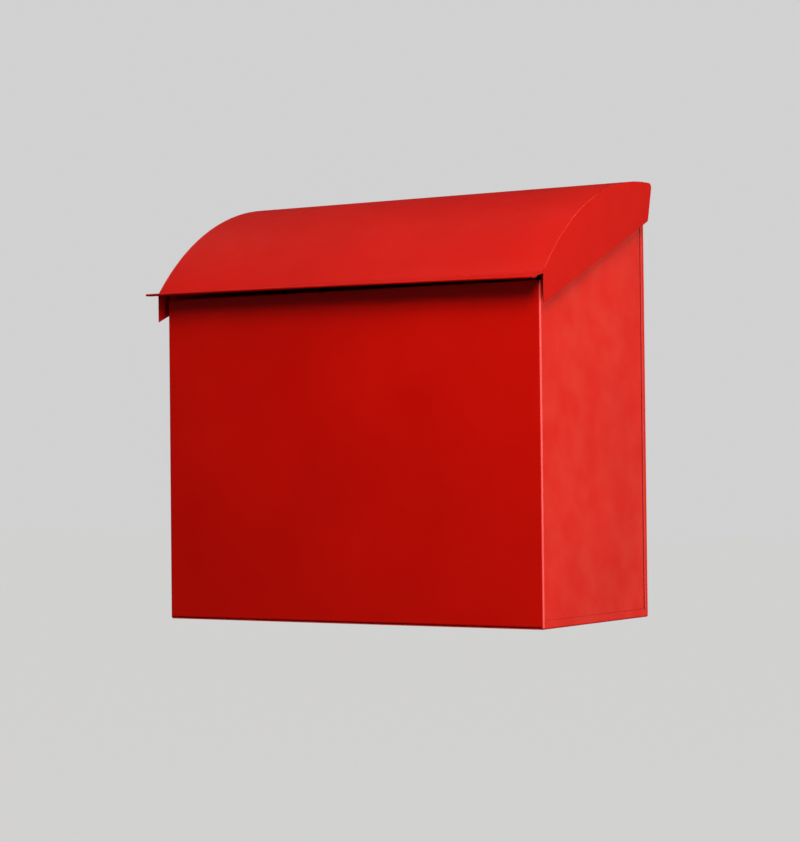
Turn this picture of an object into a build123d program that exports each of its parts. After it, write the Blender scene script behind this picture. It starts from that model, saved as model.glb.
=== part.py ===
"""Wall mounted mailbox: a folded sheet-steel box with a curved lid on a concealed piano hinge.

Frame: +X to the right seen from the front, +Y into the wall, +Z up. The wall is the plane Y = 0, and the
origin is the centre of the four wall fixings on that plane. Millimetres.
"""

import os
from math import asin, atan2, copysign, cos, degrees, sin, sqrt

from build123d import *

# Overall sizes
width = 400.0  # outside of the side walls
depth = 195.0  # front panel to the rear edges of the back plate's rims
front_height = 304.0  # bottom to the bend between roof and lip
roof_rise = 94.0  # that bend to the top of the roof

# Sheet metal
sheet = 1.0
bend = 0.6  # inner radius of a plain bend
corner_bend = 1.0  # inner radius of the front panel's bends
touch = 0.3  # least gap between the lid's pieces and the body's

# Body
wall_gap = 7.0  # wall to the back plate's rims
rim_depth = 5.5  # web's front face to the rims' rear edges
panel_drop = 5.5  # front panel's top edge below the lid's bend
panel_hem = 10.0
panel_flange = 12.0  # front panel's turned-in bottom edge
rear_flange = 12.0  # side walls' turned-in rear edges
pan_flange = 7.5  # height of the pan's side flanges
pan_rear_flange = 14.0
pan_setback = 0.6  # pan's front edge behind the front panel's face
flange_relief = 2.0  # gap between flanges that meet at a corner
drain_radius = 3.0
drain_inset = 30.0

# Lid
lid_overhang = 6.0  # lid's bend in front of the front panel
lid_side_gap = 6.0  # side wall to cheek
apex_inset = 12.0  # roof's highest line in front of the wall
roof_tail = 3.5  # wall to the roof's rear edge
lip_depth = 19.0
lip_drop = 2.4
lip_bend = 6.0  # radius on top of the bend between roof and lip
lip_hem = 7.0
cheek_front = 26.4  # cheek's front edge, downwards from the bend
cheek_rear = 35.5  # top of the roof to the cheek's lower rear corner
cheek_tail = 1.0  # wall to the cheek's upper rear corner
cheek_lean = 8.5  # lower rear corner in front of the upper one
cheek_flange = 10.0
cheek_corner = 4.0
cheek_edge = 0.9  # rounding of the welded edge between roof and cheek

# Hinge
hinge_inset = 10.0  # side wall to the hinge's end
leaf = 0.8
pin_radius = 1.6
pin_play = 0.05
leaf_width = 18.0
knuckle_pitch = 20.0  # nearest pitch that gives an odd count
knuckle_gap = 0.4
leaf_rivets = 6
leaf_rivet_inset = 20.0
leaf_rivet_line = 11.0  # hinge axis to the rivets

# Rivets
rivet_radius = 1.6
rivet_head_radius = 3.2
rivet_head_height = 1.0
rivet_bulb_radius = 2.3
rivet_bulb_height = 1.6
rivet_slack = 0.02  # the lid's leaf is curved, the rivets' bulbs sit on it flat
side_rivets = 4
side_rivet_inset = 40.0
pan_rivets = 4
pan_rivet_inset = 60.0
pan_rivet_height = 9.0

# Wall fixing
fix_inset = 50.0  # side wall to the fixing holes
fix_lower = 70.0  # bottom to the lower holes
fix_upper = 88.0  # top of the roof to the upper holes
screw_radius = 3.25
spacer_radius = 11.0
spacer_neck = 5.5
spacer_flange_radius = 8.5
spacer_flange = 2.0

# Lid bumpers
bumper_height = 3.0  # rubber above the side wall's edge
bumper_leg = 6.0
bumper_width = 6.0
bumper_length = 16.0
bumper_places = {"front": 32.0, "rear": 120.0}  # behind the front panel

# Places that follow from the sizes
height = front_height + roof_rise
base = -(fix_lower + height - fix_upper) / 2
top = base + height
front = -(depth + wall_gap)
half = width / 2
rim_rear = -wall_gap
web_front = rim_rear - rim_depth
web_rear = web_front + sheet
bend_outer = bend + sheet
corner_outer = corner_bend + sheet
seam = base + pan_flange
panel_foot = base + sheet
wall_foot = panel_foot + bend
panel_top = base + front_height - panel_drop

lid_bend = (front - lid_overhang, base + front_height)
roof_run = -apex_inset - lid_bend[0]
roof_radius = (roof_run**2 + roof_rise**2) / (2 * roof_rise)
centre_y = -apex_inset
centre_z = top - roof_radius
cheek_outer = half + lid_side_gap + sheet
cheek_inner = cheek_outer - sheet
flange_under = roof_radius - 2 * sheet
wall_top_radius = flange_under - touch - bumper_height

knuckle_inner = pin_radius + pin_play
knuckle_outer = knuckle_inner + leaf
leaf_offset = knuckle_outer + touch  # hinge axis to the face that each leaf is riveted by
pivot_y = web_rear + leaf_offset
pivot_radius = roof_radius - sheet - leaf_offset
pivot_z = centre_z + sqrt(pivot_radius**2 - (pivot_y - centre_y) ** 2)
hinge_half = half - hinge_inset
web_top = pivot_z - knuckle_outer - touch
rim_top = pivot_z - 2 * leaf_offset - leaf
knuckles = 2 * round((2 * hinge_half / knuckle_pitch - 1) / 2) + 1
pitch = 2 * hinge_half / knuckles


def roof_angle(y):
    """Angle in radians, forward of the roof's highest line, of the roof at depth y."""
    return asin((centre_y - y) / roof_radius)


def on_arc(radius, angle):
    """Point (y, z) on an arc about the roof's centre line."""
    return (centre_y - radius * sin(angle), centre_z + radius * cos(angle))


def sector(inner, outer, start, end):
    """Face of a ring sector about the roof's centre line, between two forward angles, on Plane.YZ."""
    middle = (start + end) / 2
    with BuildSketch(Plane.YZ) as sketch:
        with BuildLine():
            ThreePointArc(on_arc(outer, start), on_arc(outer, middle), on_arc(outer, end))
            Line(on_arc(outer, end), on_arc(inner, end))
            ThreePointArc(on_arc(inner, end), on_arc(inner, middle), on_arc(inner, start))
            Line(on_arc(inner, start), on_arc(outer, start))
        make_face()
    return sketch.sketch


def fold(plane, outline, radii):
    """Face of folded sheet on a plane: the outline is its outer side, with the sheet on the left of it."""
    with BuildSketch(plane) as sketch:
        with BuildLine():
            FilletPolyline(*outline, radius=radii)
            offset(amount=sheet, side=Side.LEFT)
        make_face()
    return sketch.sketch


def box_between(low, high, mode=Mode.ADD):
    """Box from its lowest to its highest corner."""
    size = [b - a for a, b in zip(low, high)]
    middle = [(a + b) / 2 for a, b in zip(low, high)]
    with Locations(tuple(middle)):
        Box(*size, mode=mode)


def spread(count, reach):
    """Evenly spaced values from -reach to reach."""
    return [reach * (2 * i / (count - 1) - 1) for i in range(count)]


def dome(radius, rise, level):
    """Arc of a spherical cap, from its rim to its crown on the Z axis; a negative rise hangs down."""
    cap = (radius**2 + rise**2) / (2 * rise)
    shoulder = rise - cap + copysign(sqrt(cap**2 - radius**2 / 4), rise)
    return ThreePointArc((radius, level), (radius / 2, level + shoulder), (0, level + rise))


def rivet(grip):
    """Set blind rivet: the head's flat lies at the origin, the shank runs along -Z through the grip."""
    with BuildPart() as piece:
        with BuildSketch(Plane.XZ):
            with BuildLine():
                dome(rivet_head_radius, rivet_head_height, 0)
                Line((0, rivet_head_height), (0, -grip - rivet_bulb_height))
                dome(rivet_bulb_radius, -rivet_bulb_height, -grip)
                Polyline(
                    (rivet_bulb_radius, -grip),
                    (rivet_radius, -grip),
                    (rivet_radius, 0),
                    (rivet_head_radius, 0),
                )
            make_face()
        revolve(axis=Axis.Z)
    return piece.part


# Where rivets sit: each location's +Z points out of the head
side_rivet_pitch = (rim_top - base - 2 * side_rivet_inset) / (side_rivets - 1)
back_rivet_places = [
    Location((x, web_front - sheet, base + side_rivet_inset + i * side_rivet_pitch), (90, 0, 0))
    for x in (-half + sheet + rear_flange / 2, half - sheet - rear_flange / 2)
    for i in range(side_rivets)
]
back_rivet_places += [
    Location((x, web_front - sheet, base + pan_rivet_height), (90, 0, 0))
    for x in spread(pan_rivets, half - pan_rivet_inset)
]
leaf_rivet_xs = spread(leaf_rivets, hinge_half - leaf_rivet_inset)
body_leaf_z = pivot_z - leaf_rivet_line
body_leaf_places = [Location((x, web_front, body_leaf_z), (90, 0, 0)) for x in leaf_rivet_xs]
lid_leaf_angle = roof_angle(pivot_y - leaf_rivet_line)
lid_leaf_y, lid_leaf_z = on_arc(roof_radius, lid_leaf_angle)
lid_leaf_turn = (degrees(lid_leaf_angle), 0, 0)
lid_leaf_places = [Location((x, lid_leaf_y, lid_leaf_z), lid_leaf_turn) for x in leaf_rivet_xs]

fix_x = half - fix_inset
fix_z = (height - fix_upper - fix_lower) / 2
fix_places = {
    "upper_left": (-fix_x, fix_z),
    "upper_right": (fix_x, fix_z),
    "lower_left": (-fix_x, -fix_z),
    "lower_right": (fix_x, -fix_z),
}


def rivet_holes(places, grip):
    """Cut the shanks' holes through the grip, and a little past both faces, at the rivets' places."""
    with Locations(*[place * Location((0, 0, -grip / 2)) for place in places]):
        Cylinder(rivet_radius, grip + sheet, mode=Mode.SUBTRACT)


# Front panel and side walls, one folded sheet
with BuildPart() as front_and_sides:
    flange_x = half - rear_flange
    plan = [(-flange_x, web_front), (-half, web_front), (-half, front)]
    plan += [(half, front), (half, web_front), (flange_x, web_front)]
    radii = [bend_outer, corner_outer, corner_outer, bend_outer]
    extrude(fold(Plane.XY.offset(panel_foot), plan, radii), amount=top - panel_foot)
    # the side walls follow the roof, and the front panel stops below the lid's bend
    with BuildSketch(Plane.YZ):
        with Locations((front - sheet, centre_z)):
            Rectangle(sheet - front, roof_radius, align=Align.MIN)
        with Locations((centre_y, centre_z)):
            Circle(wall_top_radius, mode=Mode.SUBTRACT)
    extrude(amount=half + sheet, both=True, mode=Mode.SUBTRACT)
    box_between((-half, front, panel_top), (half, front + corner_outer, top), mode=Mode.SUBTRACT)
    # closed hem behind the panel's top edge
    hem_half = half - sheet - flange_relief
    box_between((-hem_half, front + sheet, panel_top - panel_hem), (hem_half, front + 2 * sheet, panel_top))
    # the side walls end on the pan's side flanges, only the corner bends run down to its floor
    box_between((-half, front + corner_outer, panel_foot), (half, web_rear, seam), mode=Mode.SUBTRACT)
    # bottom edge turned in over the pan
    foot_half = half - corner_outer
    foot_top = panel_foot + corner_outer
    box_between((-foot_half, front, panel_foot), (foot_half, front + sheet, foot_top), mode=Mode.SUBTRACT)
    foot = [(front, foot_top + sheet), (front, panel_foot), (front + panel_flange, panel_foot)]
    extrude(fold(Plane.YZ, foot, corner_outer), amount=foot_half, both=True)
    rivet_holes(back_rivet_places[: 2 * side_rivets], sheet)
front_and_sides.part.label = "front_and_sides"

# Floor: the walls and the back plate's rims stand flush on its side flanges, its rear flange stands inside
with BuildPart() as bottom_pan:
    section = [(-half, seam), (-half, base), (half, base), (half, seam)]
    extrude(fold(Plane.XZ.offset(wall_gap), section, bend_outer), amount=depth - pan_setback)
    for side in (-half, half - bend_outer):
        box_between((side, front, base), (side + bend_outer, front + corner_outer, seam), mode=Mode.SUBTRACT)
    pan_half = half - bend - flange_relief
    rear_half = half - sheet - rear_flange - flange_relief
    floor_rear = web_front - bend_outer
    box_between((-pan_half, floor_rear, base), (pan_half, rim_rear, panel_foot), mode=Mode.SUBTRACT)
    upstand = [
        (web_front - pan_rear_flange, base),
        (web_front, base),
        (web_front, base + pan_rear_flange),
    ]
    extrude(fold(Plane.YZ, upstand, bend_outer), amount=rear_half, both=True)
    drain_x = half - drain_inset
    drain_ys = (front + drain_inset, web_front - drain_inset)
    with Locations(*[(x, y, base + sheet / 2) for x in (-drain_x, drain_x) for y in drain_ys]):
        Cylinder(drain_radius, sheet, mode=Mode.SUBTRACT)
    rivet_holes(back_rivet_places[2 * side_rivets :], sheet)
bottom_pan.part.label = "bottom_pan"

# Back plate: a tray whose rims turn towards the wall
with BuildPart() as back_plate:
    plan = [(-half, rim_rear), (-half, web_front), (half, web_front), (half, rim_rear)]
    extrude(fold(Plane.XY.offset(wall_foot), plan, bend_outer), amount=web_top - wall_foot)
    for end in (-half, half):
        shoulder = (end, rim_rear, web_top)
        inner = (end - (bend_outer + flange_relief) * (1 if end > 0 else -1), web_front, rim_top)
        low = [min(pair) for pair in zip(shoulder, inner)]
        high = [max(pair) for pair in zip(shoulder, inner)]
        box_between(low, high, mode=Mode.SUBTRACT)
    foot = [(web_front, wall_foot + bend_outer), (web_front, base), (rim_rear, base)]
    extrude(fold(Plane.YZ, foot, bend_outer), amount=pan_half - touch, both=True)
    for side in (-half, half - bend_outer):
        box_between((side, web_front, wall_foot), (side + bend_outer, rim_rear, seam), mode=Mode.SUBTRACT)
    rivet_holes(back_rivet_places, 2 * sheet)
    rivet_holes(body_leaf_places, sheet)
    with Locations(*[Location((x, web_front + sheet / 2, z), (90, 0, 0)) for x, z in fix_places.values()]):
        Cylinder(spacer_neck, sheet, mode=Mode.SUBTRACT)
back_plate.part.label = "back_plate"

# Rivets that hold the back plate to the walls' flanges and the pan
with BuildPart() as back_rivets:
    with Locations(*back_rivet_places):
        add(rivet(2 * sheet))
back_rivets.part.label = "back_rivets"

# Piano hinge: the body's leaf stands on the wall side of the back plate, the lid's lies under the roof
knuckle_places = [(i + 0.5) * pitch - hinge_half - (pitch - knuckle_gap) / 2 for i in range(knuckles)]
leaf_edge = knuckle_outer + touch  # the other leaf's knuckles pass this far from a leaf's edge
leaf_under = roof_radius - sheet - leaf

with BuildPart() as hinge_body_leaf:
    box_between(
        (-hinge_half, web_rear, pivot_z - leaf_width),
        (hinge_half, web_rear + leaf, pivot_z - leaf_edge),
    )
    for x in knuckle_places[::2]:
        with BuildSketch(Plane.YZ.offset(x)):
            with Locations((pivot_y, pivot_z)):
                Circle(knuckle_outer)
            with Locations((web_rear + leaf / 2, pivot_z - leaf_edge / 2)):
                Rectangle(leaf, leaf_edge)
            with Locations((pivot_y, pivot_z)):
                Circle(knuckle_inner, mode=Mode.SUBTRACT)
        extrude(amount=pitch - knuckle_gap)
    rivet_holes(body_leaf_places, sheet + leaf)
hinge_body_leaf.part.label = "hinge_body_leaf"

with BuildPart() as hinge_lid_leaf:
    leaf_rear = roof_angle(pivot_y - leaf_edge)
    leaf_front = roof_angle(pivot_y - leaf_width)
    extrude(sector(leaf_under, roof_radius - sheet, leaf_rear, leaf_front), amount=hinge_half, both=True)
    finger = sector(leaf_under, roof_radius - sheet, roof_angle(pivot_y), leaf_rear)
    for x in knuckle_places[1::2]:
        with BuildSketch(Plane.YZ.offset(x)):
            with Locations((pivot_y, pivot_z)):
                Circle(knuckle_outer)
                Circle(knuckle_inner, mode=Mode.SUBTRACT)
        extrude(amount=pitch - knuckle_gap)
        extrude(finger.moved(Location((x, 0, 0))), amount=pitch - knuckle_gap)
    rivet_holes(lid_leaf_places, sheet + leaf)
hinge_lid_leaf.part.label = "hinge_lid_leaf"

with BuildPart() as hinge_pin:
    with Locations(Location((0, pivot_y, pivot_z), (0, 90, 0))):
        Cylinder(pin_radius, 2 * hinge_half)
hinge_pin.part.label = "hinge_pin"

with BuildPart() as hinge_body_rivets:
    with Locations(*body_leaf_places):
        add(rivet(sheet + leaf))
hinge_body_rivets.part.label = "hinge_body_rivets"

with BuildPart() as hinge_lid_rivets:
    with Locations(*lid_leaf_places):
        add(rivet(sheet + leaf + rivet_slack))
hinge_lid_rivets.part.label = "hinge_lid_rivets"

# Roof and lip, one sheet: an arc, a small bend the other way and a straight lip with a closed hem
lip_angle = atan2(lip_drop, lip_depth)
along = Vector(-cos(lip_angle), -sin(lip_angle))  # down the lip
above = Vector(-sin(lip_angle), cos(lip_angle))  # out of its top face
roof_centre = Vector(centre_y, centre_z)
from_centre = Vector(*lid_bend) + above * lip_bend - roof_centre
slide = from_centre.dot(along)
bend_distance = roof_radius + lip_bend
bend_run = sqrt(slide**2 + bend_distance**2 - from_centre.length**2) - slide
bend_centre = roof_centre + from_centre + along * bend_run
bend_angle = asin((roof_centre - bend_centre).X / bend_distance)
lip_end = Vector(*lid_bend) + along * sqrt(lip_depth**2 + lip_drop**2)
nose = lip_end - along * sheet - above * sheet
bend_middle = (Vector(*on_arc(1, bend_angle)) - roof_centre + above).normalized()


def roof_arc(level, start, end):
    """Roof arc at a level under its outer face, between two forward angles."""
    radius = roof_radius - level
    return ThreePointArc(on_arc(radius, start), on_arc(radius, (start + end) / 2), on_arc(radius, end))


def bend_arc(level):
    """Arc of the bend between roof and lip, at a level under the outer face."""
    radius = lip_bend + level
    start = on_arc(roof_radius - level, bend_angle)
    return ThreePointArc(start, bend_centre - bend_middle * radius, bend_centre - above * radius)


with BuildSketch(Plane.YZ) as roof_section:
    tail_angle = roof_angle(-roof_tail)
    with BuildLine():
        roof_arc(0, tail_angle, bend_angle)
        bend_arc(0)
        Line(bend_centre - above * lip_bend, nose + above * sheet)
        ThreePointArc(nose + above * sheet, nose + along * sheet, nose - above * sheet)
        Polyline(nose - above * sheet, nose - above * sheet - along * lip_hem, nose - along * lip_hem)
        Line(nose - along * lip_hem, bend_centre - above * (lip_bend + sheet))
        bend_arc(sheet)
        roof_arc(sheet, bend_angle, tail_angle)
        Line(on_arc(roof_radius - sheet, tail_angle), on_arc(roof_radius, tail_angle))
    make_face()

with BuildSketch(Plane.YZ) as lip_section:
    add(roof_section.sketch_local)
    with Locations((lid_bend[0] - lip_depth, lid_bend[1])):
        Rectangle(2 * lip_depth, 2 * lip_depth, mode=Mode.INTERSECT)

with BuildPart() as lid_roof:
    extrude(roof_section.sketch, amount=cheek_inner, both=True)
    extrude(lip_section.sketch, amount=cheek_outer, both=True)
    rivet_holes(lid_leaf_places, sheet)
lid_roof.part.label = "lid_roof"

# Cheeks: flat sides with a flange welded under the roof
with BuildPart() as lid_cheek_right:
    with BuildSketch(Plane.YZ.offset(cheek_inner)) as cheek_outline:
        upper_rear = roof_angle(-cheek_tail)
        lower_rear = (-cheek_tail - cheek_lean, top - cheek_rear)
        with BuildLine():
            roof_arc(0, upper_rear, roof_angle(lid_bend[0]))
            Polyline(
                on_arc(roof_radius, roof_angle(lid_bend[0])),
                (lid_bend[0], lid_bend[1] - cheek_front),
                lower_rear,
                on_arc(roof_radius, upper_rear),
            )
        make_face()
        fillet(cheek_outline.vertices().sort_by(Axis.Y)[-2:], cheek_corner)
    extrude(amount=sheet)
    fillet(edges().filter_by(GeomType.CIRCLE).sort_by(SortBy.RADIUS)[-2:].sort_by(Axis.X)[-1], cheek_edge)
    flange_face = sector(
        flange_under,
        roof_radius - sheet,
        roof_angle(pivot_y - 2 * leaf_offset),
        bend_angle - flange_relief / roof_radius,
    )
    extrude(flange_face.moved(Location((cheek_inner, 0, 0))), amount=-cheek_flange)
lid_cheek_right.part.label = "lid_cheek_right"

with BuildPart() as lid_cheek_left:
    mirror(lid_cheek_right.part, about=Plane.YZ)
lid_cheek_left.part.label = "lid_cheek_left"

# Rubber bushes that hold the box off the wall and carry the wall screws
spacers = []
on_base = (Align.CENTER, Align.CENTER, Align.MIN)
for name, (x, z) in fix_places.items():
    seat = Plane((x, 0, z), x_dir=(1, 0, 0), z_dir=(0, -1, 0))
    with BuildPart(seat) as spacer:
        Cylinder(spacer_radius, -web_rear, align=on_base)
        chamfer(edges().filter_by(GeomType.CIRCLE).sort_by(Axis.Y)[-1], sheet)
        with Locations((0, 0, -web_rear)):
            Cylinder(spacer_neck, sheet, align=on_base)
        with Locations((0, 0, -web_front)):
            Cylinder(spacer_flange_radius, spacer_flange, align=on_base)
        chamfer(edges().filter_by(GeomType.CIRCLE).sort_by(Axis.Y)[0], sheet)
        Cylinder(screw_radius, spacer_flange - web_front, align=on_base, mode=Mode.SUBTRACT)
    spacer.part.label = f"wall_spacer_{name}"
    spacers.append(spacer)

# Rubber bumpers pushed onto the side walls' top edges; the lid rests on them
bumpers = []
for place, setback in bumper_places.items():
    middle = roof_angle(front + setback)
    reach = bumper_length / (2 * roof_radius)
    lower = wall_top_radius - bumper_leg
    rubber = sector(lower, wall_top_radius + bumper_height, middle - reach, middle + reach)
    slot = sector(lower - bumper_leg, wall_top_radius, middle - 2 * reach, middle + 2 * reach)
    for side, x in {"left": -half + sheet / 2, "right": half - sheet / 2}.items():
        with BuildPart() as bumper:
            extrude(rubber.moved(Location((x, 0, 0))), amount=bumper_width / 2, both=True)
            extrude(slot.moved(Location((x, 0, 0))), amount=sheet / 2, both=True, mode=Mode.SUBTRACT)
        bumper.part.label = f"lid_bumper_{place}_{side}"
        bumpers.append(bumper)

pieces = [front_and_sides, bottom_pan, back_plate, back_rivets, *spacers, *bumpers]
pieces += [hinge_body_leaf, hinge_body_rivets, hinge_pin, hinge_lid_leaf, hinge_lid_rivets]
pieces += [lid_roof, lid_cheek_left, lid_cheek_right]
os.makedirs("parts", exist_ok=True)
for piece in pieces:
    export_step(piece.part, f"parts/{piece.part.label}.step")
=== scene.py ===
"""Looks of the wall mounted mailbox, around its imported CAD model.

The painted sheets are remade as finer meshes on the CAD model's own folds: rounded sheet edges, rolled hems, a
lip that is a little out of true and a welded seam along the roof's ends. Metres, in the CAD model's frame:
+X to the right, +Y into the wall, +Z up.
"""

from math import acos, asin, atan2, ceil, cos, pi, radians, sin, sqrt, tan

import bmesh
import bpy
from mathutils import Matrix, Vector, noise


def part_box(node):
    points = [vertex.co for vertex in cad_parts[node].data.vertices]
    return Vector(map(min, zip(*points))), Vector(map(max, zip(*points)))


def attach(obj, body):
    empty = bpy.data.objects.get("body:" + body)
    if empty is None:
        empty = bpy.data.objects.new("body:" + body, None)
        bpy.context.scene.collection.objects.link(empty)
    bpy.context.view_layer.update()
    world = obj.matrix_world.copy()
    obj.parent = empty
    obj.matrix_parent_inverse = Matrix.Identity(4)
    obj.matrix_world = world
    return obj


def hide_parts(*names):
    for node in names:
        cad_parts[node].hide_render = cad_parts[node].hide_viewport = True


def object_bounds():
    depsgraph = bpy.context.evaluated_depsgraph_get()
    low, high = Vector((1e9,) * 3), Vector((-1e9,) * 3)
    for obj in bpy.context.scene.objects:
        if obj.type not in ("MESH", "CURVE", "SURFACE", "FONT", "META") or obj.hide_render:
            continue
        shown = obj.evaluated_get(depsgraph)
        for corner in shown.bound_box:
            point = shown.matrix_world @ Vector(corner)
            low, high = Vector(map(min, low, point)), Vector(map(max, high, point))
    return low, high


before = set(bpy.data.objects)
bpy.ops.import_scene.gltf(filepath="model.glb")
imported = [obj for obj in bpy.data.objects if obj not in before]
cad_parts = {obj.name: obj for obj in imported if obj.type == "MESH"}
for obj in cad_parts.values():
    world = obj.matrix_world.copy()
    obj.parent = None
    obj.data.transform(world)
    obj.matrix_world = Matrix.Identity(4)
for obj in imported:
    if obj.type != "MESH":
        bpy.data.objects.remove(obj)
cad_box = [list(corner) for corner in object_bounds()]
mm = 0.001

# Camera
camera_place = Vector((1.2272, -2.0373, -0.0475))
camera_yaw = -0.5676  # radians from straight at the wall, towards the left
camera_pitch = 0.0174
camera_roll = -0.0105
focal_pixels = 2465.98
image_long_side = 842
sensor = 36.0

# Stage
floor_drop = 0.95  # floor below the mailbox
floor_reach = 30.0
pale = (0.64, 0.64, 0.64, 1)  # floor and sky, as the camera sees them
floor_tone = (0.2, 0.2, 0.2, 1)  # floor's share of the lamps' light
floor_glow = 0.9
sky_light = (0.05, 0.05, 0.055, 1)

# Lamps: bearing from the wall's normal towards +X and rise, in degrees, then distance, size, power and colour
warm = (1.0, 0.93, 0.80)
cool = (0.86, 0.93, 1.0)
lamps = {
    "key": (39, 32, 1.32, 0.56, 14, warm),
    "horizon": (62, 2, 2.4, 0.9, 8, cool),
    "right": (104, -3, 2.4, 2.2, 39, warm),
    "above left": (-30, 62, 1.1, 0.8, 2.6, warm),
    "left fill": (-115, 20, 2.5, 1.2, 15, warm),
    "rear fill": (150, 5, 3.0, 3.0, 5, warm),
}
overhead_power = 0.85
overhead_angle = radians(90)

# Sheet metal
sheet = 1.0 * mm
raw_edge = 0.3 * mm  # rounding of a cut edge
raw_steps = 3
hem_gap = 0.1 * mm  # inside a folded hem
bend_steps = 12
longest_face = 25 * mm

# Where the CAD model's sheets are
shell_low, shell_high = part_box("front_and_sides")
pan_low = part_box("bottom_pan")[0]
cheek_low, cheek_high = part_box("lid_cheek_right")
roof_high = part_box("lid_roof")[1]
pin_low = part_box("hinge_pin")[0]

# Roof and lip
apex_inset = 12.0 * mm  # roof's highest line in front of the wall
roof_rise = 94.0 * mm  # bend between roof and lip to the top of the roof
lip_depth = 19.0 * mm
lip_drop = 2.4 * mm
lip_bend = 6.0 * mm  # radius on top of that bend
lip_hem = 7.0 * mm
lip_twist = 1.7 * mm  # left end of the lip's front edge above true, and right end below
lip_crown = 0.5 * mm  # its middle above true
roof_steps = 56

# Cheeks
cheek_front = 26.4 * mm  # front edge, downwards from the bend between roof and lip
cheek_lean = 8.5 * mm  # lower rear corner in front of the upper one
cheek_rear = 35.5 * mm  # top of the roof to the lower rear corner
cheek_corner = 4.0 * mm
cheek_flange = 10.0 * mm
flange_relief = 2.0 * mm
weld_radius = 0.75 * mm
weld_step = 1.5 * mm  # between the rings of the bead's mesh
weld_sides = 12
weld_ripple = 4.0 * mm  # length of the bead's waves
weld_waves = 0.22  # how much they change its radius
weld_outset = 0.1 * mm  # bead's centre line outside the roof's end
weld_drift = 0.12 * mm  # how far the waves move it
weld_end = 0.55  # radius at the bead's ends, against its middle
weld_taper = 3  # rings over which it thins
weld_seed = 5  # where in the noise the right bead's waves come from; the left one's come from its negative
weld_gap = (-104 * mm, -91 * mm)  # from y to y, where the right cheek's weld has missed the roof

# Front panel and side walls
corner_bend = 2.0 * mm  # outer radius
rear_bend = 2.6 * mm
rear_gap = 0.4 * mm  # rear flanges in front of the back plate
rear_flange = 12.0 * mm
panel_drop = 5.5 * mm  # front panel's top edge below the bend between roof and lip
panel_hem = 10.0 * mm
panel_flange = 12.0 * mm
pan_flange = 7.5 * mm  # height of the bottom pan's side flanges, which the side walls stand on
wall_gap = 0.08 * mm  # between them
bumper_height = 3.0 * mm
touch = 0.3 * mm

top = cheek_high.z
bend_y = cheek_low.y
bend_z = top - roof_rise
centre_y = -apex_inset
roof_run = centre_y - bend_y
roof_radius = (roof_run**2 + roof_rise**2) / (2 * roof_rise)
roof_centre = Vector((centre_y, top - roof_radius))
cheek_outer = cheek_high.x
cheek_inner = cheek_outer - sheet
half = shell_high.x
front = shell_low.y
web_front = shell_high.y
panel_top = bend_z - panel_drop
wall_top_radius = roof_radius - 2 * sheet - touch - bumper_height


# Outlines: lists of 2-D points


def around(centre, start, turn, steps=bend_steps):
    """Points on an arc about a centre, from a start through a signed turn in radians."""
    spoke = start - centre
    return [centre + Matrix.Rotation(turn * i / steps, 2) @ spoke for i in range(steps + 1)]


def bent(corners, radii, steps=bend_steps):
    """Line through corners, with each inner corner rounded to its radius, or left sharp at 0."""
    line = [corners[0]]
    for before, corner, after, radius in zip(corners, corners[1:], corners[2:], radii):
        if radius == 0:
            line.append(corner)
            continue
        back = (before - corner).normalized()
        onward = (after - corner).normalized()
        opening = acos(back.dot(onward))
        middle = corner + (back + onward).normalized() * radius / sin(opening / 2)
        side = 1 if onward.cross(back) > 0 else -1
        line += around(middle, corner + back * radius / tan(opening / 2), side * (pi - opening), steps)
    line.append(corners[-1])
    return [line[0]] + [end for start, end in zip(line, line[1:]) if (end - start).length > 1e-6]


def even(line):
    """The line with its long stretches divided."""
    points = [line[0]]
    for start, end in zip(line, line[1:]):
        parts = ceil((end - start).length / longest_face)
        points += [start.lerp(end, i / parts) for i in range(1, parts + 1)]
    return points


def mitres(line, closed):
    """For each point, the way to its left along which the line moves by one unit."""
    runs = [(end - start).normalized() for start, end in zip(line, line[1:] + line[:1])]
    lefts = [Vector((-run.y, run.x)) for run in runs]
    ways = [(a + b) / (1 + a.dot(b)) for a, b in zip(lefts[-1:] + lefts[:-1], lefts)]
    if not closed:
        ways[0] = lefts[0]
        ways[-1] = lefts[-2]
    return ways


def strip(line, first_cut=True):
    """Closed outline of sheet on the left of a line, its cut ends rounded.

    Point i lies across the sheet from point -1 - i.
    """
    far = [point + way * sheet for point, way in zip(line, mitres(line, False))]

    def eased(before, corner, after):
        return bent([before, corner, after], [raw_edge], raw_steps)[1:-1]

    near_start = eased(far[0], line[0], line[1]) if first_cut else [line[0]]
    far_start = eased(far[1], far[0], line[0]) if first_cut else [far[0]]
    near = near_start + line[1:-1] + eased(line[-2], line[-1], far[-1])
    return near + eased(line[-1], far[-1], far[-2]) + far[-2:0:-1] + far_start


# Meshes


def rounded_levels(spans, ease=0.8 * raw_edge):
    """A prism's levels, each a share of its length, a distance past that and an inset, with rounded ends."""
    turns = [radians(90) * i / raw_steps for i in range(raw_steps + 1)]
    low = [(0, ease * (1 - cos(turn)), ease * (1 - sin(turn))) for turn in turns]
    high = [(1, -past, inset) for share, past, inset in reversed(low)]
    return low + [(i / spans, 0, 0) for i in range(1, spans)] + high


def square_levels(spans):
    """A prism's levels with square ends."""
    return [(i / spans, 0, 0) for i in range(spans + 1)]


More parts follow.
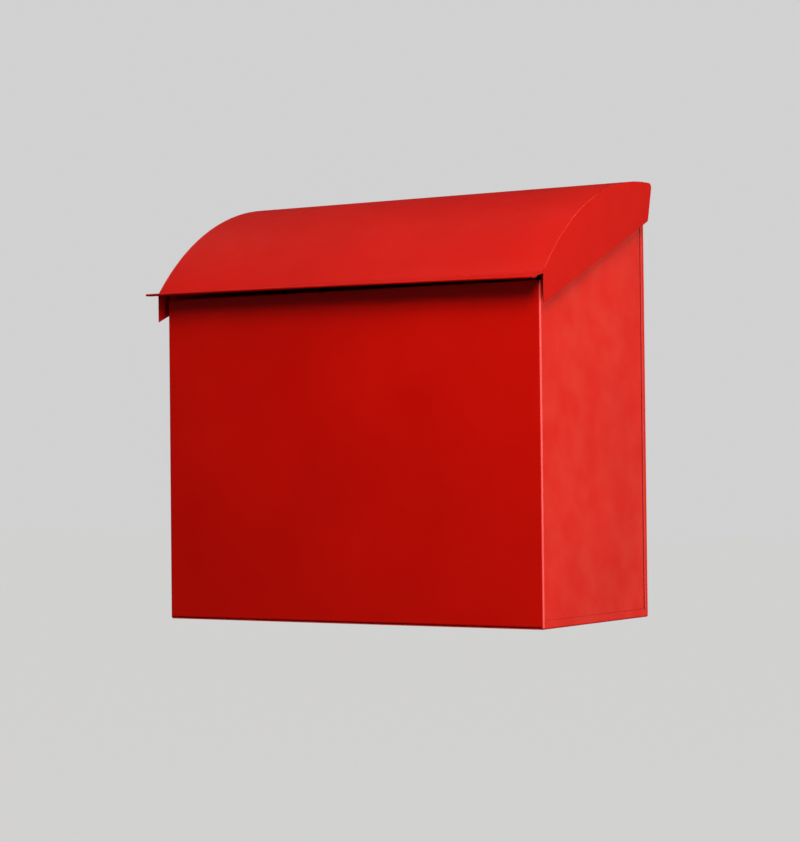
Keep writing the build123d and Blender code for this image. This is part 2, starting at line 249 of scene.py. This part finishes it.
def prism(mesh, outline, levels, place, is_strip=True):
    """Adds a solid with one outline at several levels; place(point, share, past) gives a point's place.

    A strip's ends are filled across the sheet, and another outline's with one face.
    """
    area = sum(a.cross(b) for a, b in zip(outline, outline[1:] + outline[:1]))
    inward = [way * (1 if area > 0 else -1) for way in mitres(outline, True)]
    rings = []
    for share, past, inset in levels:
        ring = [point + way * inset for point, way in zip(outline, inward)]
        rings.append([mesh.verts.new(place(point, share, past)) for point in ring])
    count = len(outline)
    for lower, upper in zip(rings, rings[1:]):
        for i in range(count):
            mesh.faces.new((lower[i - 1], lower[i], upper[i], upper[i - 1]))
    for ring in (rings[0], rings[-1]):
        if is_strip:
            for i in range(count // 2 - 1):
                mesh.faces.new((ring[i], ring[i + 1], ring[-2 - i], ring[-1 - i]))
        else:
            mesh.faces.new(ring)


def new_piece(name, mesh, material):
    """Object from a bmesh, smooth where its faces meet at a small angle."""
    bmesh.ops.recalc_face_normals(mesh, faces=mesh.faces)
    data = bpy.data.meshes.new(name)
    mesh.to_mesh(data)
    mesh.free()
    data.shade_smooth()
    data.set_sharp_from_angle(angle=radians(40))
    data.materials.append(material)
    piece = bpy.data.objects.new(name, data)
    bpy.context.scene.collection.objects.link(piece)
    weighted = piece.modifiers.new("even shading", "WEIGHTED_NORMAL")
    weighted.keep_sharp = True
    return piece


def shown_as(piece, body, slot, *nodes):
    """Rides the piece on a body in the place of CAD nodes. The slot is not used."""
    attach(piece, body)
    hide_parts(*nodes)


# Lid


def roof_angle(y):
    """Angle in radians, forward of the roof's highest line, of the roof at depth y."""
    return asin((centre_y - y) / roof_radius)


def on_roof(radius, angle):
    """Point (y, z) at a radius about the roof's centre line."""
    return roof_centre + radius * Vector((-sin(angle), cos(angle)))


def roof_line():
    """The angle where the roof ends, and the outer face from its rear edge over the lip and into the hem."""
    slope = atan2(lip_drop, lip_depth)
    along = Vector((-cos(slope), -sin(slope)))
    above = Vector((-sin(slope), cos(slope)))
    bend = Vector((bend_y, bend_z))
    from_centre = bend + above * lip_bend - roof_centre
    slide = from_centre.dot(along)
    run = sqrt(slide**2 + (roof_radius + lip_bend) ** 2 - from_centre.length_squared) - slide
    middle = roof_centre + from_centre + along * run
    end_angle = asin((roof_centre - middle).x / (roof_radius + lip_bend))
    tail_angle = roof_angle(roof_high.y)
    line = [
        on_roof(roof_radius, tail_angle + (end_angle - tail_angle) * i / roof_steps) for i in range(roof_steps)
    ]
    start = on_roof(roof_radius, end_angle)
    line += around(middle, start, -acos((start - middle).normalized().dot(-above)))
    hem_radius = sheet + hem_gap / 2
    lip_end = bend + along * (sqrt(lip_depth**2 + lip_drop**2) - hem_radius)
    line += around(lip_end - above * hem_radius, lip_end, pi)
    return end_angle, line + [line[-1] - along * lip_hem]


def place_roof(point, share, past):
    """Place of a point of the lid's sheet: the lip is wider than the roof, and out of true."""
    beyond = max(0, bend_y - point.x)
    reach = cheek_inner + (sheet if beyond > 0 else 0)
    x = -reach + 2 * reach * share + past
    side = x / cheek_outer
    lift = (lip_crown * (1 - side**2) - lip_twist * side) * min(1, beyond / lip_depth)
    return (x, point.x, point.y + lift)


def make_roof(line, paint):
    """Roof and lip, one sheet."""
    mesh = bmesh.new()
    prism(mesh, strip(even(line)), rounded_levels(24), place_roof)
    piece = new_piece("roof_sheet", mesh, paint)
    shown_as(piece, "lid", "red_powder_coat", "lid_roof")


def cheek_outline():
    """Outline of a cheek, rearwards along its lower edge and forwards along the roof."""
    rear = roof_angle(cheek_high.y)
    fore = roof_angle(bend_y)
    arc = [on_roof(roof_radius, rear + (fore - rear) * i / roof_steps) for i in range(roof_steps + 1)]
    lower_front = Vector((bend_y, bend_z - cheek_front))
    lower_rear = Vector((cheek_high.y - cheek_lean, top - cheek_rear))
    rounded = bent([lower_front, lower_rear, arc[0], arc[1]], [cheek_corner, cheek_corner])[:-1]
    return rounded + [point for point in arc if point.x < rounded[-1].x]


def make_cheek(side, roof_end, paint):
    """A cheek with its flange, welded under the roof's end; side is -1 or 1."""
    mesh = bmesh.new()

    def place_plate(point, share, past):
        return (side * (cheek_inner + sheet * share + past), point.x, point.y)

    def place_flange(point, share, past):
        return (side * (cheek_inner - cheek_flange * share + past), point.x, point.y)

    prism(mesh, cheek_outline(), rounded_levels(1, 0.4 * sheet), place_plate, is_strip=False)
    rear = roof_angle(pin_low.y - 2 * mm)
    fore = roof_end - flange_relief / roof_radius
    under = [
        on_roof(roof_radius - sheet, rear + (fore - rear) * i / roof_steps) for i in range(roof_steps + 1)
    ]
    prism(mesh, strip(under), square_levels(1), place_flange)
    name = "left" if side < 0 else "right"
    piece = new_piece(f"cheek_{name}", mesh, paint)
    shown_as(piece, "lid", "red_powder_coat", f"lid_cheek_{name}")


def make_weld(side, roof_end, paint):
    """The weld bead between the roof's end and a cheek, a little uneven along its length."""
    mesh = bmesh.new()
    rear = roof_angle(cheek_high.y - cheek_corner)
    steps = ceil((roof_end - rear) * roof_radius / weld_step)
    runs = [[]]
    for i in range(steps + 1):
        angle = rear + (roof_end - rear) * i / steps
        y = on_roof(roof_radius, angle).x
        if side > 0 and weld_gap[0] < y < weld_gap[1]:
            if runs[-1]:
                runs.append([])
        else:
            runs[-1].append(angle)
    for run in runs:
        rings = []
        for i, angle in enumerate(run):
            taper = min(1, i / weld_taper, (len(run) - 1 - i) / weld_taper)
            wave = noise.noise(Vector((side * weld_seed, angle * roof_radius / weld_ripple, 0)))
            radius = weld_radius * (weld_end + (1 - weld_end) * taper) * (1 + weld_waves * wave)
            middle = on_roof(roof_radius - weld_radius, angle)
            outward = on_roof(1, angle) - roof_centre
            x = side * (cheek_inner + weld_outset + weld_drift * wave)
            ring = []
            for k in range(weld_sides):
                turn = 2 * pi * k / weld_sides
                point = middle + outward * radius * cos(turn)
                ring.append(mesh.verts.new((x + radius * sin(turn), point.x, point.y)))
            rings.append(ring)
        for lower, upper in zip(rings, rings[1:]):
            for k in range(weld_sides):
                mesh.faces.new((lower[k - 1], lower[k], upper[k], upper[k - 1]))
        mesh.faces.new(rings[0])
        mesh.faces.new(rings[-1])
    name = "left" if side < 0 else "right"
    piece = new_piece(f"weld_{name}", mesh, paint)
    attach(piece, "lid")


# Box


def make_shell(paint):
    """Front panel and side walls, one folded sheet."""
    mesh = bmesh.new()
    hem_radius = sheet + hem_gap / 2
    foot = shell_low.z
    bend_line = half - corner_bend
    corner_top = front + corner_bend
    step = 2 * raw_edge

    # side walls, from the front panel's ends round to the rear flanges
    plan = [
        Vector((bend_line, front)),
        Vector((half, front)),
        Vector((half, corner_top + step)),
        Vector((half, web_front - rear_gap)),
        Vector((half - rear_flange, web_front - rear_gap)),
    ]
    wall = strip(even(bent(plan, [corner_bend, 0, rear_bend])), first_cut=False)

    def wall_top(point):
        if point.y < corner_top + step / 2:
            return panel_top
        return roof_centre.y + sqrt(wall_top_radius**2 - (point.y - roof_centre.x) ** 2)

    def wall_foot(point):
        return foot if point.y < corner_top + step / 2 else pan_low.z + pan_flange + wall_gap

    for side in (-1, 1):

        def place_wall(point, share, past, side=side):
            low = wall_foot(point)
            return (side * point.x, point.y, low + (wall_top(point) - low) * share + past)

        prism(mesh, wall, rounded_levels(14), place_wall)

    # front panel, from the hem behind its top edge down to the flange turned in over the floor
    section = [
        Vector((front + 2 * hem_radius, panel_top - panel_hem)),
        Vector((front + 2 * hem_radius, panel_top)),
        Vector((front, panel_top)),
        Vector((front, foot)),
        Vector((front + panel_flange, foot)),
    ]
    panel = strip(even(bent(section, [hem_radius, hem_radius, corner_bend])))

    def place_panel(point, share, past):
        return (-bend_line + 2 * bend_line * share + past, point.x, point.y)

    prism(mesh, panel, square_levels(16), place_panel)
    piece = new_piece("front_and_side_walls", mesh, paint)
    shown_as(piece, "box", "red_powder_coat", "front_and_sides")


# Materials


class Nodes:
    """A material's node tree: add() makes a node, and its keyword arguments are properties of that node."""

    def __init__(self, name):
        self.material = bpy.data.materials.new(name)
        self.material.use_nodes = True
        self.tree = self.material.node_tree
        self.shader = self.tree.nodes["Principled BSDF"]
        self.place = self.add("ShaderNodeTexCoord").outputs["Object"]

    def add(self, kind, inputs=None, **properties):
        node = self.tree.nodes.new(kind)
        for key, value in properties.items():
            setattr(node, key, value)
        self.fill(node, inputs or {})
        return node

    def fill(self, node, inputs):
        """Sets a node's inputs, each a plain value or another node's output."""
        for key, value in inputs.items():
            if isinstance(value, bpy.types.NodeSocket):
                self.tree.links.new(value, node.inputs[key])
            else:
                node.inputs[key].default_value = value

    def noise(self, scale, detail=3.0, stretch=None):
        """Noise from about 0.3 to 0.7, with features a unit over the scale apart."""
        place = self.place
        if stretch:
            place = self.add("ShaderNodeMapping", {"Vector": place, "Scale": stretch}).outputs[0]
        inputs = {"Vector": place, "Scale": scale, "Detail": detail}
        return self.add("ShaderNodeTexNoise", inputs).outputs["Fac"]

    def ranged(self, value, low, high, to_low, to_high):
        """The value's range from low to high, spread from to_low to to_high and held there."""
        inputs = {0: value, 1: low, 2: high, 3: to_low, 4: to_high}
        return self.add("ShaderNodeMapRange", inputs).outputs[0]

    def maths(self, operation, first, second):
        return self.add("ShaderNodeMath", {0: first, 1: second}, operation=operation).outputs[0]

    def mixed(self, share, first, second):
        """Colour from first to second."""
        inputs = {0: share, 6: first, 7: second}
        return self.add("ShaderNodeMix", inputs, data_type="RGBA").outputs[2]

    def bump(self, height, distance, normal=None):
        inputs = {"Height": height, "Distance": distance, "Strength": 1.0}
        if normal:
            inputs["Normal"] = normal
        return self.add("ShaderNodeBump", inputs).outputs[0]

    def edges(self, radius):
        """Normal rounded over the edges, and a mask that is 1 on sharp ones."""
        rounded = self.add("ShaderNodeBevel", {"Radius": radius}, samples=6).outputs[0]
        flat = self.add("ShaderNodeNewGeometry").outputs["Normal"]
        dot = self.add("ShaderNodeVectorMath", {0: rounded, 1: flat}, operation="DOT_PRODUCT").outputs["Value"]
        return rounded, self.ranged(dot, 0.98, 0.80, 0.0, 1.0)


def red_powder_coat(name, tone, chalk, shine, highlight_all_over=0.0, bend_highlight=0.0):
    """Satin powder coat: orange peel, mottling, dust, a few pale specks, pale edges that are partly abraded
    paint and partly a painted highlight, and painted shade in grooves.

    Tone is how light the red is; below 1 it makes a darker copy of the same paint, which is painted shade.
    Chalk is how far walls that face sideways are painted paler, a painted sheen. Shine is the clear coat's
    weight, wear how far a painted highlight turns the paint pale away from the edges too, and bends how far a
    painted highlight runs along the crests of the box's rounded front corners.
    """
    deep = (0.585 * tone, 0.0035 * tone, 0.0008 * tone, 1)
    light = (0.655 * tone, 0.0050 * tone, 0.0010 * tone, 1)
    sideways_sheen_pink = (0.88, 0.32, 0.20, 1)
    dust_brown = (0.50, 0.30, 0.18, 1)
    speck_pink = (0.75, 0.50, 0.42, 1)
    wear_and_highlight_red = (0.80, 0.16, 0.11, 1)
    bend_highlight_pink = (1.0, 0.16, 0.17, 1)
    groove_shade_dark = (0.10, 0.004, 0.004, 1)

    nodes = Nodes(name)
    rounded, edge = nodes.edges(0.6 * mm)
    cloudy = nodes.noise(38, 5)
    colour = nodes.mixed(nodes.ranged(nodes.noise(9, 4), 0.3, 0.7, 0, 1), deep, light)

    # painted sheen: walls that face sideways are painted paler, in patches; dusty on top
    facing = nodes.add("ShaderNodeSeparateXYZ", {0: nodes.add("ShaderNodeNewGeometry").outputs["Normal"]})
    sideways = nodes.ranged(nodes.maths("ABSOLUTE", facing.outputs[0], 0), 0.7, 0.95, 0.0, chalk)
    sideways_sheen = nodes.maths("MULTIPLY", sideways, nodes.ranged(cloudy, 0.35, 0.68, 0.45, 1.3))
    colour = nodes.mixed(sideways_sheen, colour, sideways_sheen_pink)
    settled = nodes.ranged(facing.outputs[2], 0.75, 1.0, 0.0, 0.008)
    dust = nodes.maths("MULTIPLY", settled, nodes.ranged(cloudy, 0.4, 0.6, 0.2, 1))
    colour = nodes.mixed(dust, colour, dust_brown)

    # specks, one in ten cells having one
    cells = nodes.add("ShaderNodeTexVoronoi", {"Vector": nodes.place, "Scale": 26.0})
    dot = nodes.ranged(cells.outputs["Distance"], 0.010, 0.018, 1, 0)
    chance = nodes.add("ShaderNodeSeparateColor", {0: cells.outputs["Color"]}).outputs[0]
    speck = nodes.maths("MULTIPLY", dot, nodes.ranged(chance, 0.90, 0.91, 0, 0.6))
    colour = nodes.mixed(speck, colour, speck_pink)

    # pale edges, partly abraded paint and partly a painted highlight on rounded edges
    patchy = nodes.noise(160, 4)
    wear_and_highlight = nodes.maths("MULTIPLY", edge, nodes.ranged(patchy, 0.42, 0.62, 0.1, 0.5))
    # painted highlight that turns the whole piece pale, used on the welds
    if highlight_all_over:
        wear_and_highlight = nodes.maths("MAXIMUM", wear_and_highlight, nodes.ranged(patchy, 0.35, 0.65, 0.4 * highlight_all_over, highlight_all_over))
    colour = nodes.mixed(wear_and_highlight, colour, wear_and_highlight_red)
    # painted highlight along the crests of the box's rounded front corners
    if bend_highlight:
        place = nodes.add("ShaderNodeSeparateXYZ", {0: nodes.place})
        past_front = nodes.maths("SUBTRACT", nodes.maths("ABSOLUTE", place.outputs[0], 0), half - corner_bend)
        past_side = nodes.maths("SUBTRACT", front + corner_bend, place.outputs[1])
        past_both = nodes.maths("MINIMUM", past_front, past_side)
        colour = nodes.mixed(nodes.ranged(past_both, 0.65 * mm, 1.05 * mm, 0, bend_highlight), colour, bend_highlight_pink)

    # painted shade in grooves and corners: darker red where ambient occlusion is low
    open_sky = nodes.add("ShaderNodeAmbientOcclusion", {"Distance": 6 * mm}, samples=6).outputs["AO"]
    colour = nodes.mixed(nodes.ranged(open_sky, 0.50, 0.95, 1.0, 0.0), colour, groove_shade_dark)

    patches = nodes.ranged(cloudy, 0.35, 0.65, 0.38, 0.48)
    roughness = nodes.maths("ADD", patches, nodes.ranged(wear_and_highlight, 0, 1, 0, 0.15))
    peel = nodes.bump(nodes.noise(900, 2), 0.012 * mm, rounded)
    nodes.fill(
        nodes.shader,
        {
            "Base Color": colour,
            "Roughness": roughness,
            "Normal": nodes.bump(nodes.noise(22, 2), 0.25 * mm, peel),
            "Specular IOR Level": 0.06,
            "Coat Weight": shine,
            "Coat Roughness": 0.16,
            "Coat Normal": rounded,
        },
    )
    return nodes.material


def hinge_steel():
    """Rolled stainless steel, drawn along the hinge, with a few water marks."""
    nodes = Nodes("hinge steel")
    rounded, edge = nodes.edges(0.3 * mm)
    drawn = nodes.noise(500, 3, (0.03, 1, 1))
    marks = nodes.noise(30, 5)
    clean_steel = (0.56, 0.57, 0.58, 1)
    water_mark = (0.38, 0.37, 0.35, 1)
    colour = nodes.mixed(nodes.ranged(marks, 0.45, 0.7, 0, 1), clean_steel, water_mark)
    bright = nodes.maths("MULTIPLY", edge, 0.4)
    colour = nodes.mixed(bright, colour, (0.75, 0.75, 0.75, 1))
    grain = nodes.ranged(drawn, 0.3, 0.7, 0.26, 0.40)
    roughness = nodes.maths("ADD", grain, nodes.ranged(marks, 0.45, 0.7, 0, 0.15))
    normal = nodes.bump(drawn, 0.01 * mm, rounded)
    inputs = {"Base Color": colour, "Roughness": roughness, "Normal": normal, "Metallic": 1.0}
    nodes.fill(nodes.shader, inputs)
    return nodes.material


def rivet_aluminium():
    """Dull aluminium with fine handling marks."""
    nodes = Nodes("rivet aluminium")
    fine = nodes.noise(1500, 4)
    marks = nodes.noise(250, 3)
    colour = nodes.mixed(nodes.ranged(marks, 0.35, 0.65, 0, 1), (0.62, 0.62, 0.62, 1), (0.50, 0.50, 0.49, 1))
    roughness = nodes.ranged(marks, 0.35, 0.65, 0.34, 0.5)
    normal = nodes.bump(fine, 0.01 * mm)
    inputs = {"Base Color": colour, "Roughness": roughness, "Normal": normal, "Metallic": 1.0}
    nodes.fill(nodes.shader, inputs)
    return nodes.material


def black_rubber():
    """Moulded rubber, a little chalky on its edges."""
    nodes = Nodes("black rubber")
    rounded, edge = nodes.edges(0.5 * mm)
    fine = nodes.noise(1200, 3)
    bloom = nodes.noise(120, 4)
    black = (0.018, 0.018, 0.019, 1)
    bloomed = (0.040, 0.040, 0.041, 1)
    colour = nodes.mixed(nodes.ranged(bloom, 0.35, 0.7, 0, 1), black, bloomed)
    chalk = nodes.maths("MULTIPLY", edge, 0.3)
    colour = nodes.mixed(chalk, colour, (0.10, 0.10, 0.10, 1))
    roughness = nodes.ranged(bloom, 0.35, 0.7, 0.62, 0.8)
    normal = nodes.bump(fine, 0.03 * mm, rounded)
    nodes.fill(nodes.shader, {"Base Color": colour, "Roughness": roughness, "Normal": normal})
    return nodes.material


# Camera, lamps and stage


def add_camera():
    """The camera at the photograph's angle."""
    straight = Vector((sin(camera_yaw), cos(camera_yaw), 0))
    ahead = cos(camera_pitch) * straight + Vector((0, 0, sin(camera_pitch)))
    level = Vector((cos(camera_yaw), -sin(camera_yaw), 0))
    upright = level.cross(ahead)
    right = cos(camera_roll) * level + sin(camera_roll) * upright
    up = cos(camera_roll) * upright - sin(camera_roll) * level
    data = bpy.data.cameras.new("camera")
    data.sensor_width = sensor
    data.lens = focal_pixels / image_long_side * sensor
    data.clip_end = 100
    camera = bpy.data.objects.new("camera", data)
    bpy.context.scene.collection.objects.link(camera)
    turn = Matrix((right, up, -ahead)).transposed()
    camera.matrix_world = Matrix.Translation(camera_place) @ turn.to_4x4()
    bpy.context.scene.camera = camera


def add_area(name, bearing, rise, distance, size, power, colour):
    """A soft round lamp aimed at the mailbox."""
    data = bpy.data.lights.new(name, "AREA")
    data.shape = "DISK"
    data.size = size
    data.energy = power
    data.color = colour
    lamp = bpy.data.objects.new(name, data)
    bpy.context.scene.collection.objects.link(lamp)
    bearing, rise = radians(bearing), radians(rise)
    towards = Vector((sin(bearing) * cos(rise), -cos(bearing) * cos(rise), sin(rise)))
    middle = (Vector(cad_box[0]) + Vector(cad_box[1])) / 2
    lamp.location = middle + towards * distance
    lamp.rotation_euler = towards.to_track_quat("Z", "Y").to_euler()


def add_overhead():
    """Soft light from straight above."""
    data = bpy.data.lights.new("overhead", "SUN")
    data.energy = overhead_power
    data.angle = overhead_angle
    data.color = warm
    lamp = bpy.data.objects.new("overhead", data)
    bpy.context.scene.collection.objects.link(lamp)


def add_stage():
    """A plain pale floor under a pale, even sky."""
    scene = bpy.context.scene
    scene.view_settings.view_transform = "Standard"
    level = cad_box[0][2] - floor_drop
    mesh = bpy.data.meshes.new("floor")
    corners = [(x * floor_reach, y * floor_reach, level) for x, y in ((-1, -1), (1, -1), (1, 1), (-1, 1))]
    mesh.from_pydata(corners, [], [(0, 1, 2, 3)])
    floor = bpy.data.objects.new("floor", mesh)
    scene.collection.objects.link(floor)
    material = bpy.data.materials.new("floor")
    material.use_nodes = True
    shader = material.node_tree.nodes["Principled BSDF"]
    shader.inputs["Base Color"].default_value = floor_tone
    shader.inputs["Roughness"].default_value = 0.9
    shader.inputs["Specular IOR Level"].default_value = 0.1
    shader.inputs["Emission Color"].default_value = pale
    shader.inputs["Emission Strength"].default_value = floor_glow
    mesh.materials.append(material)
    # the floor throws no light back up, so that the mailbox keeps its shade under the lip
    floor.visible_diffuse = False
    floor.visible_glossy = False
    world = bpy.data.worlds.new("world")
    scene.world = world
    world.use_nodes = True
    tree = world.node_tree
    background = tree.nodes["Background"]
    background.inputs["Color"].default_value = sky_light
    seen = tree.nodes.new("ShaderNodeBackground")
    seen.inputs["Color"].default_value = pale
    path = tree.nodes.new("ShaderNodeLightPath")
    mix = tree.nodes.new("ShaderNodeMixShader")
    tree.links.new(path.outputs["Is Camera Ray"], mix.inputs[0])
    tree.links.new(background.outputs[0], mix.inputs[1])
    tree.links.new(seen.outputs[0], mix.inputs[2])
    tree.links.new(mix.outputs[0], tree.nodes["World Output"].inputs["Surface"])


add_camera()
add_stage()
for name, settings in lamps.items():
    add_area(name, *settings)
add_overhead()
finishes = {
    # the box's paint, with a painted highlight along its front corners and a painted sheen on its side walls
    "red_powder_coat": red_powder_coat("red powder coat", 1.0, 0.05, 0.3, bend_highlight=0.6),
    "hinge_steel": hinge_steel(),
    "rivet_aluminium": rivet_aluminium(),
    "black_rubber": black_rubber(),
}
box_paint = finishes["red_powder_coat"]
# the lid's paint is a darker copy of the box's paint: painted shade that offsets the lid's brighter light
shaded_lid_paint = red_powder_coat("red powder coat on the lid", 0.80, 0.008, 0.03)
# the welds' paint is pale all over: a painted highlight along the roof's ends
weld_highlight_paint = red_powder_coat("red powder coat on the welds", 1.0, 0.0, 0.3, 0.6)
roof_end, lid_line = roof_line()
make_roof(lid_line, shaded_lid_paint)
make_cheek(-1, roof_end, shaded_lid_paint)
make_cheek(1, roof_end, shaded_lid_paint)
make_weld(-1, roof_end, weld_highlight_paint)
make_weld(1, roof_end, weld_highlight_paint)
make_shell(box_paint)
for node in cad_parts.values():
    for slot in node.material_slots:
        slot.material = finishes[slot.material.name]
